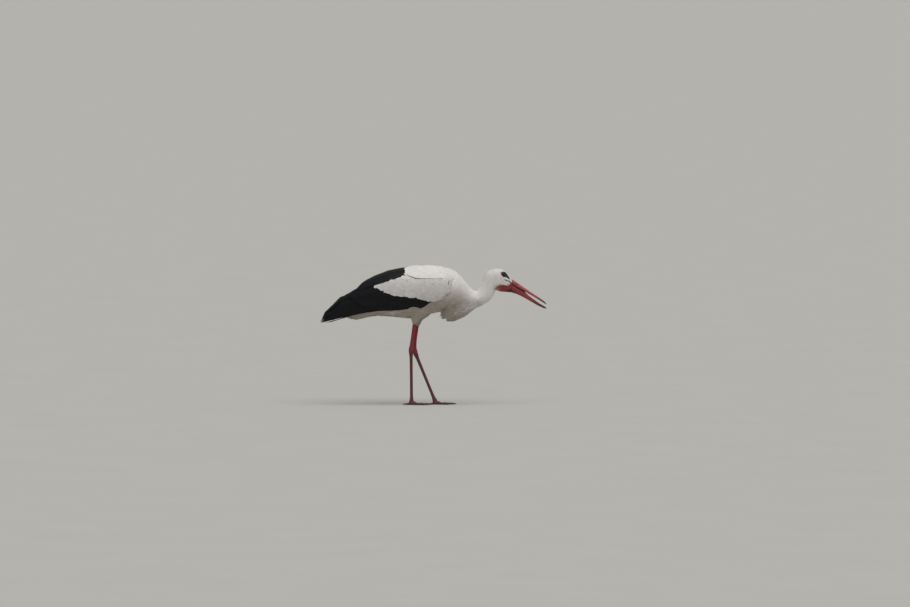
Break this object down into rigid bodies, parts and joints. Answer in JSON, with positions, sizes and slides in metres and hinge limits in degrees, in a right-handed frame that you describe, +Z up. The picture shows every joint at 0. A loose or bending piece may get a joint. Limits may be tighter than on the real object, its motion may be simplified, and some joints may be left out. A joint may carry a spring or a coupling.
{
  "type": "white stork",
  "caption": "Life-size white stork walking with lowered head and parted bill: white body, black flight feathers, long red bill, long thin legs on flat spread toes.",
  "frame": {"origin": "on the floor, under the middle of the whole bird's box", "axes": "+X the way the bird faces, +Y its left side, +Z up"},
  "size_m": [0.9324, 0.2, 0.572],
  "materials": {
    "white_feathers": "matt, soft plumage",
    "black_feathers": "smooth quills with a faint gloss",
    "bill": "satin horn",
    "throat_skin": "matt bare skin",
    "leg_skin": "matt scaled skin",
    "claw": "satin horn",
    "eye": "wet gloss"
  },
  "bodies": {
    "root": {"trunk": "white_feathers", "neck_lower": "white_feathers", "neck_upper": "white_feathers", "head": "white_feathers", "throat": "throat_skin", "neck_ruff": "white_feathers", "eye_right": "eye", "eye_left": "eye", "bill_upper": "bill", "bill_lower": "bill", "tail": "white_feathers", "wing_right_scapulars": "white_feathers", "wing_right_coverts": "white_feathers", "wing_right_tertials": "black_feathers", "wing_right_secondaries": "black_feathers", "wing_right_primaries": "black_feathers", "wing_left_scapulars": "white_feathers", "wing_left_coverts": "white_feathers", "wing_left_tertials": "black_feathers", "wing_left_secondaries": "black_feathers", "wing_left_primaries": "black_feathers", "leg_right_thigh": "white_feathers", "leg_right_shank": "leg_skin", "leg_right_tarsus": "leg_skin", "leg_right_foot": "leg_skin", "leg_right_hallux": "leg_skin", "leg_right_hallux_claw": "claw", "leg_right_inner_toe": "leg_skin", "leg_right_inner_toe_claw": "claw", "leg_right_middle_toe": "leg_skin", "leg_right_middle_toe_claw": "claw", "leg_right_outer_toe": "leg_skin", "leg_right_outer_toe_claw": "claw", "leg_left_thigh": "white_feathers", "leg_left_shank": "leg_skin", "leg_left_tarsus": "leg_skin", "leg_left_foot": "leg_skin", "leg_left_hallux": "leg_skin", "leg_left_hallux_claw": "claw", "leg_left_inner_toe": "leg_skin", "leg_left_inner_toe_claw": "claw", "leg_left_middle_toe": "leg_skin", "leg_left_middle_toe_claw": "claw", "leg_left_outer_toe": "leg_skin", "leg_left_outer_toe_claw": "claw"}
  },
  "joints": []
}
